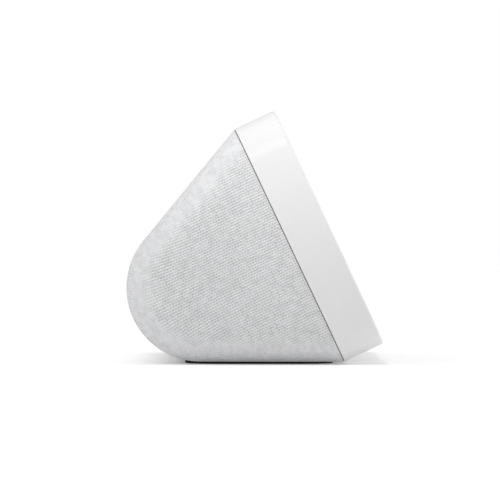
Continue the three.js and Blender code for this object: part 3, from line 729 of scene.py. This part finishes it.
def band():
    """The moulded front band, from its back edge round its side, over the rim to the ledge inside."""
    outer = slab_points(BAND_BACK, BAND_DEPTH, 0.1, BAND_FILLET, 6)
    rim = fillet((RIM - 0.25, BAND_DEPTH), (RIM, BAND_DEPTH - 0.25), (RIM, BAND_DEPTH), 4)
    points = outer + rim + [(RIM, LIP_Z[1])]
    levels = inset_levels(PANEL_WIDTH, PANEL_HEIGHT, CORNER_RADIUS, points)
    levels += [(*LEDGE_OPENING, z) for z in reversed(LIP_Z)]
    wall = [(BAND_WALL, LIP_Z[0]), (BAND_WALL, BAND_BACK)]
    inside = inset_levels(PANEL_WIDTH, PANEL_HEIGHT, CORNER_RADIUS, wall)
    vertices, faces = skin(stacked(levels + inside, steps=20), closed=True)
    obj = build("band", vertices, faces, [MATERIALS["white_plastic"]])
    length, width = BUTTON_SIZE
    cutters = [
        pill_slot(panel_middle(name).x, length + SLOT_PLAY, width + SLOT_PLAY)
        for name in BUTTON_NODES
    ]
    knob_x = shutter_knob_x()
    travel = joints["shutter_slide"]["range_m"][1] / MM
    cutters.append(pill_slot(knob_x + travel / 2, travel + 4.8, 2.8))
    for node_name in ("microphone_left", "microphone_right"):
        cutters.append(pill_slot(panel_middle(node_name).x, 1.2, 1.1))
    cutters += [ledge_pocket(knob_x - 2.4, 54.6, 33.0), ledge_pocket(-52.5, -47.5, 33.8)]
    cut_away(obj, cutters)
    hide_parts("front_bezel")


def shutter_knob_x():
    """The middle of the shutter's knob across the panel, with the shutter open."""
    low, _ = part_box("shutter_slider")
    return low.x / MM + KNOB_SIZE[0] / 2


def pill_slot(x, length, width):
    """A slot through the band's top wall, with a small lead-in at its mouth."""
    top = PANEL_HEIGHT / 2
    chamfer = 0.18
    levels = [
        (length, width, width / 2 - 0.01, -BAND_WALL - 1),
        (length, width, width / 2 - 0.01, -chamfer),
        (length + 4 * chamfer, width + 4 * chamfer, width / 2 + 2 * chamfer - 0.01, chamfer),
    ]
    vertices, faces = skin(stacked(levels, steps=10))
    return cutter(stood_up(vertices, (x, top, BUTTON_Z)), faces, PANEL)


def ledge_pocket(x_low, x_high, y_low):
    """Room behind the border for the shutter and the sensor."""
    width, height = x_high - x_low, LEDGE_TOP - y_low
    centre = ((x_low + x_high) / 2, (LEDGE_TOP + y_low) / 2)
    levels = [(width, height, 0.4, LIP_Z[0] - 1), (width, height, 0.4, LIP_Z[1] + 0.05)]
    vertices, faces = skin(stacked(levels, centre, steps=4))
    return cutter(vertices, faces, PANEL)


def gasket():
    """The grey rubber ring in the groove between the band and the knit."""
    points = [(0.28, -0.12), (0.28, 0.02), (2.5, 0.02), (2.5, -0.12)]
    levels = inset_levels(PANEL_WIDTH, PANEL_HEIGHT, CORNER_RADIUS, points)
    vertices, faces = skin(stacked(levels, steps=20), closed=True)
    obj = build("seam_ring", vertices, faces, [MATERIALS["grey_rubber"]])
    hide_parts("seam_gasket")


# ---------------------------------------------------------------- glass front

def glass_front():
    """The cover glass, with its white printed border round the dark picture area."""
    width, height = PANEL_WIDTH - 2 * GLASS_EDGE, PANEL_HEIGHT - 2 * GLASS_EDGE
    points = slab_points(GLASS_Z[0], GLASS_Z[1], 0.15, 0.4, 5)
    levels = inset_levels(width, height, CORNER_RADIUS - GLASS_EDGE, points)
    levels.append((*SCREEN, 0.6, GLASS_Z[1]))
    vertices, faces = skin(stacked(levels, steps=20))
    obj = build("glass_front", vertices, faces, [MATERIALS["white_print"], MATERIALS["display_panel"]])
    camera, sensor = panel_middle("camera_lens"), panel_middle("light_sensor")
    holes = []
    for centre, radius in ((camera, 2.2), (sensor, 1.1)):
        vertices, faces = disc_stack([(radius, 11.5), (radius, 14.5)], centre)
        holes.append(cutter(vertices, faces, PANEL))
    cut_away(obj, holes)
    to_panel = PANEL.inverted()
    for face in obj.data.polygons:
        place = to_panel @ face.center / MM
        inside = abs(place.x) < SCREEN[0] / 2 and abs(place.y) < SCREEN[1] / 2
        face.material_index = 1 if inside and place.z > GLASS_Z[1] - 0.1 else 0
    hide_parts("cover_glass")
    for name, centre, radius in (("camera_window", camera, 2.15), ("sensor_window", sensor, 1.05)):
        levels = [(radius - 0.05, 12.3), (radius, 12.4), (radius, 13.65), (radius - 0.08, 13.75)]
        vertices, faces = disc_stack(levels, centre)
        window = build(name, vertices, faces, [MATERIALS["cover_glass"]])


def camera():
    """The camera behind its window: a stepped black barrel round a domed lens."""
    centre = panel_middle("camera_lens")
    rings = [(1.9, 10.1), (1.9, 10.68), (1.8, 10.7), (1.35, 10.7), (1.25, 10.5), (1.05, 10.45)]
    vertices, faces = disc_stack(rings, centre)
    barrel = build("camera_barrel", vertices, faces, [MATERIALS["black_plastic"]])
    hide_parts("camera_lens")
    dome = [(1.02, 10.46)]
    for i in range(1, 6):
        angle = math.pi / 2 * i / 6
        dome.append((1.02 * math.cos(angle), 10.46 + 0.2 * math.sin(angle)))
    vertices, faces = disc_stack(dome, centre)
    lens = build("camera_dome", vertices, faces, [MATERIALS["lens_glass"]])


# ---------------------------------------------------------------- buttons and shutter

def bar(length, width, low, high):
    """A thin raised mark lying along a key, from low to high."""
    return rounded_slab(length, width, width / 2 - 0.01, (low, high), (0.01, 0.02), steps=5)


def minus(low, high):
    """The mark on the volume down key."""
    return [bar(2.4, 0.38, low, high)]


def plus(low, high):
    """The mark on the volume up key, as one outline."""
    reach, half = 1.2, 0.19
    corner = [(reach, -half), (reach, half), (half, half)]
    outline = []
    for turn in range(4):
        c, s = round(math.cos(turn * math.pi / 2)), round(math.sin(turn * math.pi / 2))
        outline += [(x * c - y * s, x * s + y * c) for x, y in corner]
    return [skin([[(x, y, z) for x, y in outline] for z in (low, high)])]


def crossed_circle(low, high):
    """The mark on the mute key: a ring and a bar across it."""
    steps = 28
    inner, outer = 0.83, 1.17
    rings = []
    for i in range(steps):
        c, s = math.cos(2 * math.pi * i / steps), math.sin(2 * math.pi * i / steps)
        section = [(inner, low), (outer, low), (outer, high), (inner, high)]
        rings.append([(r * c, r * s, z) for r, z in section])
    vertices, faces = bar(3.0, 0.34, low, high + 0.01)
    turn = Matrix.Rotation(math.radians(45), 3, "Z")
    return [skin(rings, closed=True), ([tuple(turn @ Vector(v)) for v in vertices], faces)]


def button(node_name, body, mark):
    """A pill key in one piece: nib, flange inside the band, straight side and softly crowned top."""
    centre = panel_middle(node_name)
    inner_top = PANEL_HEIGHT / 2 - BAND_WALL
    top = BAND_WALL + BUTTON_RISE
    length, width = BUTTON_SIZE
    pill = width / 2 - 0.01
    levels = [
        (3, 2, 0.3, -1.8),
        (3, 2, 0.3, -1.3),
        (length + 1.8, width + 1.6, 0.5, -1.3),
        (length + 2, width + 1.8, 0.6, -1.2),
        (length + 2, width + 1.8, 0.6, -0.45),
        (length + 1.8, width + 1.6, 0.5, -0.35),
    ]
    side = [(0, -0.35)] + fillet((0, top - 0.5), (0.45, top - 0.05), (0, top - 0.05), 5)
    side += [(0.8, top - 0.015), (1.2, top)]
    levels += inset_levels(length, width, pill, side)
    shape = skin(stacked(levels, steps=12))
    vertices, faces = joined(shape, *mark(top - 0.02, top + 0.05))
    name = node_name.replace("button", "key")
    obj = build(name, stood_up(vertices, (centre.x, inner_top, BUTTON_Z)), faces,
                [MATERIALS["white_plastic"], MATERIALS["mark_grey"]], body=body)
    to_panel = PANEL.inverted()
    for face in obj.data.polygons:
        if (to_panel @ face.center).y / MM > inner_top + top + 0.01:
            face.material_index = 1
    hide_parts(node_name)


def shutter():
    """The privacy shutter: a ridged knob on the band, its stem, and the blade behind the glass."""
    knob_x = shutter_knob_x()
    inner_top = PANEL_HEIGHT / 2 - BAND_WALL
    half = PANEL_HEIGHT / 2
    knob = rounded_slab(*KNOB_SIZE, KNOB_SIZE[1] / 2 - 0.01, (0.3, 0.82), (0.08, 0.2), steps=10)
    ridges = []
    for x in (-1.5, -0.5, 0.5, 1.5):
        vertices, faces = rounded_slab(0.4, 2.6, 0.19, (0.7, 1.0), (0.02, 0.12), steps=4)
        ridges.append(([(vx + x, vy, vz) for vx, vy, vz in vertices], faces))
    vertices, faces = joined(knob, *ridges)
    parts = [(stood_up(vertices, (knob_x, half, BUTTON_Z)), faces)]
    stem_left, stem_right = knob_x - 1.6, knob_x + 1.6
    bars = [
        ((stem_left, stem_right), (inner_top - 1.4, half + 0.4), (BUTTON_Z - 1, BUTTON_Z + 1)),
        ((stem_left, stem_right), (inner_top - 1.4, inner_top - 0.4), (BUTTON_Z + 1.02, 10.98)),
        ((stem_left, stem_left + BLADE_LENGTH), (33.4, inner_top - 0.4), (11.0, 11.4)),
    ]
    for (x0, x1), (y0, y1), (z0, z1) in bars:
        centre = ((x0 + x1) / 2, (y0 + y1) / 2)
        parts.append(rounded_slab(x1 - x0, y1 - y0, 0.2, (z0, z1), (0.04, 0.04), centre, steps=4))
    vertices, faces = joined(*parts)
    obj = build("shutter", vertices, faces, [MATERIALS["white_plastic"]], body="shutter")
    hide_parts("shutter_slider")


# ---------------------------------------------------------------- foot and power inlet

def foot():
    """The rubber foot, with soft edges and a shallow recess underneath inside its rim."""
    size, centre = foot_size()
    points = [(6.4, 0.35), (6.1, 0.3), (6.0, 0.1), (5.8, 0.0)] + slab_points(0.0, size.z, 0.3, 0.15, 5)
    levels = inset_levels(size.x, size.y, FOOT_CORNER, points)
    vertices, faces = skin(stacked(levels, (centre.x, centre.y), steps=20))
    obj = build("foot", vertices, faces, [MATERIALS["black_rubber"]], matrix=BODY)
    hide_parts("rubber_foot")


def inlet():
    """The smooth ring round the power inlet, and the jack's mouth and pin at its bottom."""
    low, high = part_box("dc_inlet_ring")
    centre = (low + high) / 2 / MM
    half = (high.y - low.y) / 2 / MM
    ring = [(5.25, -half), (6.55, -half), (6.6, half - 0.3), (6.4, half), (5.6, half), (5.25, half - 0.35)]
    vertices, faces = turned(ring, centre)
    obj = build("inlet_ring", vertices, faces, [MATERIALS["black_plastic"]], matrix=BODY)
    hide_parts("dc_inlet_ring")
    jack_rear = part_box("dc_jack")[1].y / MM
    mouth = [
        (0.0, -9.5), (5.2, -9.5), (5.2, 0.0), (3.2, 0.0), (2.9, -0.3), (2.9, -9.0),
        (1.0, -9.0), (1.0, -1.9), (0.7, -1.6), (0.0, -1.5),
    ]
    vertices, faces = turned(mouth, (centre.x, jack_rear, centre.z))
    obj = build("jack_mouth", vertices, faces, [MATERIALS["black_plastic"]], matrix=BODY)
    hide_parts("dc_jack")


# ---------------------------------------------------------------- stage, light and camera

def stage():
    """The plain pale floor, which gives off a little light of its own."""
    material, tree, shader = new_material("pale_floor")
    soft = noise(tree, object_coordinates(tree), 3, 2)
    connect(tree, shader.inputs["Base Color"], tint(tree, soft, (0.86, 0.86, 0.86), (0.88, 0.88, 0.88)))
    shader.inputs["Roughness"].default_value = 0.9
    shader.inputs["Specular IOR Level"].default_value = 0.1
    shader.inputs["Emission Color"].default_value = (1, 1, 1, 1)
    shader.inputs["Emission Strength"].default_value = 0.17
    mesh = bpy.data.meshes.new("floor")
    reach = 6.0
    corners = [(x * reach, y * reach, 0) for x, y in ((-1, -1), (1, -1), (1, 1), (-1, 1))]
    mesh.from_pydata(corners, [], [(0, 1, 2, 3)])
    mesh.materials.append(material)
    floor = bpy.data.objects.new("floor", mesh)
    bpy.context.collection.objects.link(floor)


def soft_sun(name, direction, strength, width):
    """A broad, distant light from a direction, with its width in degrees."""
    light = bpy.data.lights.new(name, "SUN")
    light.energy = strength
    light.angle = math.radians(width)
    obj = bpy.data.objects.new(name, light)
    obj.visible_glossy = False
    bpy.context.collection.objects.link(obj)
    obj.rotation_euler = Vector(direction).to_track_quat("Z", "Y").to_euler()


def high_softbox(name, place, target, size, power, spread):
    """A small softbox whose narrow beam, in degrees, fades down the speaker's side."""
    light = bpy.data.lights.new(name, "AREA")
    light.size = size
    light.energy = power
    light.spread = math.radians(spread)
    obj = bpy.data.objects.new(name, light)
    obj.visible_camera = False
    bpy.context.collection.objects.link(obj)
    obj.location = place
    obj.rotation_euler = (Vector(target) - Vector(place)).to_track_quat("-Z", "Y").to_euler()


def studio():
    """A white studio: soft light from all round, stronger overhead.

    The backdrop looks white to the camera, which is brighter than the light that it gives.
    """
    scene = bpy.context.scene
    world = bpy.data.worlds.new("studio")
    world.use_nodes = True
    tree = world.node_tree
    sky = tree.nodes["Background"]
    sky.inputs["Color"].default_value = (1, 1, 1, 1)
    outwards = node(tree, "ShaderNodeTexCoord").outputs["Generated"]
    direction = node(tree, "ShaderNodeSeparateXYZ", (outwards,))
    strength = span(tree, direction.outputs[2], 0.0, 1.0, 0.38, 0.66)
    connect(tree, sky.inputs["Strength"], strength)
    backdrop = node(tree, "ShaderNodeBackground", ((1, 1, 1, 1), 1.0))
    seen = node(tree, "ShaderNodeLightPath").outputs["Is Camera Ray"]
    mixed = node(tree, "ShaderNodeMixShader", (seen, sky.outputs[0], backdrop.outputs[0]))
    tree.links.new(mixed.outputs[0], tree.nodes["World Output"].inputs["Surface"])
    scene.world = world
    scene.view_settings.view_transform = "Standard"
    soft_sun("key", (-0.20, 0.42, 0.88), 1.3, 60)
    soft_sun("front_fill", (0.05, -0.95, 0.31), 1.3, 34)
    soft_sun("rear_fill", (0.05, 0.95, 0.31), 0.3, 34)
    high_softbox("side_softbox", (-0.50, 0.05, 0.20), (-0.07, 0.0, 0.125), 0.06, 0.03, 28)


def camera_view():
    """A level side view from the speaker's left, with a long lens."""
    data = bpy.data.cameras.new("camera")
    distance = 1.1  # from the lens to the speaker's near side
    shown_width = 0.15955  # at the near side
    data.sensor_width = 36
    data.lens = data.sensor_width * distance / shown_width
    data.clip_start = 0.01
    obj = bpy.data.objects.new("camera", data)
    bpy.context.collection.objects.link(obj)
    near_side = CAD_BOX[0].x
    aim_y, aim_z = 0.00142, 0.03686
    obj.location = (near_side - distance, aim_y, aim_z)
    obj.rotation_euler = (math.pi / 2, 0, -math.pi / 2)
    bpy.context.scene.camera = obj


# ---------------------------------------------------------------- assembly

camera_view()
finish_cad_nodes()
cover = knit_cover()
band()
gasket()
glass_front()
camera()
button("mute_button", "mute", crossed_circle)
button("volume_down_button", "volume_down", minus)
button("volume_up_button", "volume_up", plus)
shutter()
foot()
inlet()
stage()
studio()
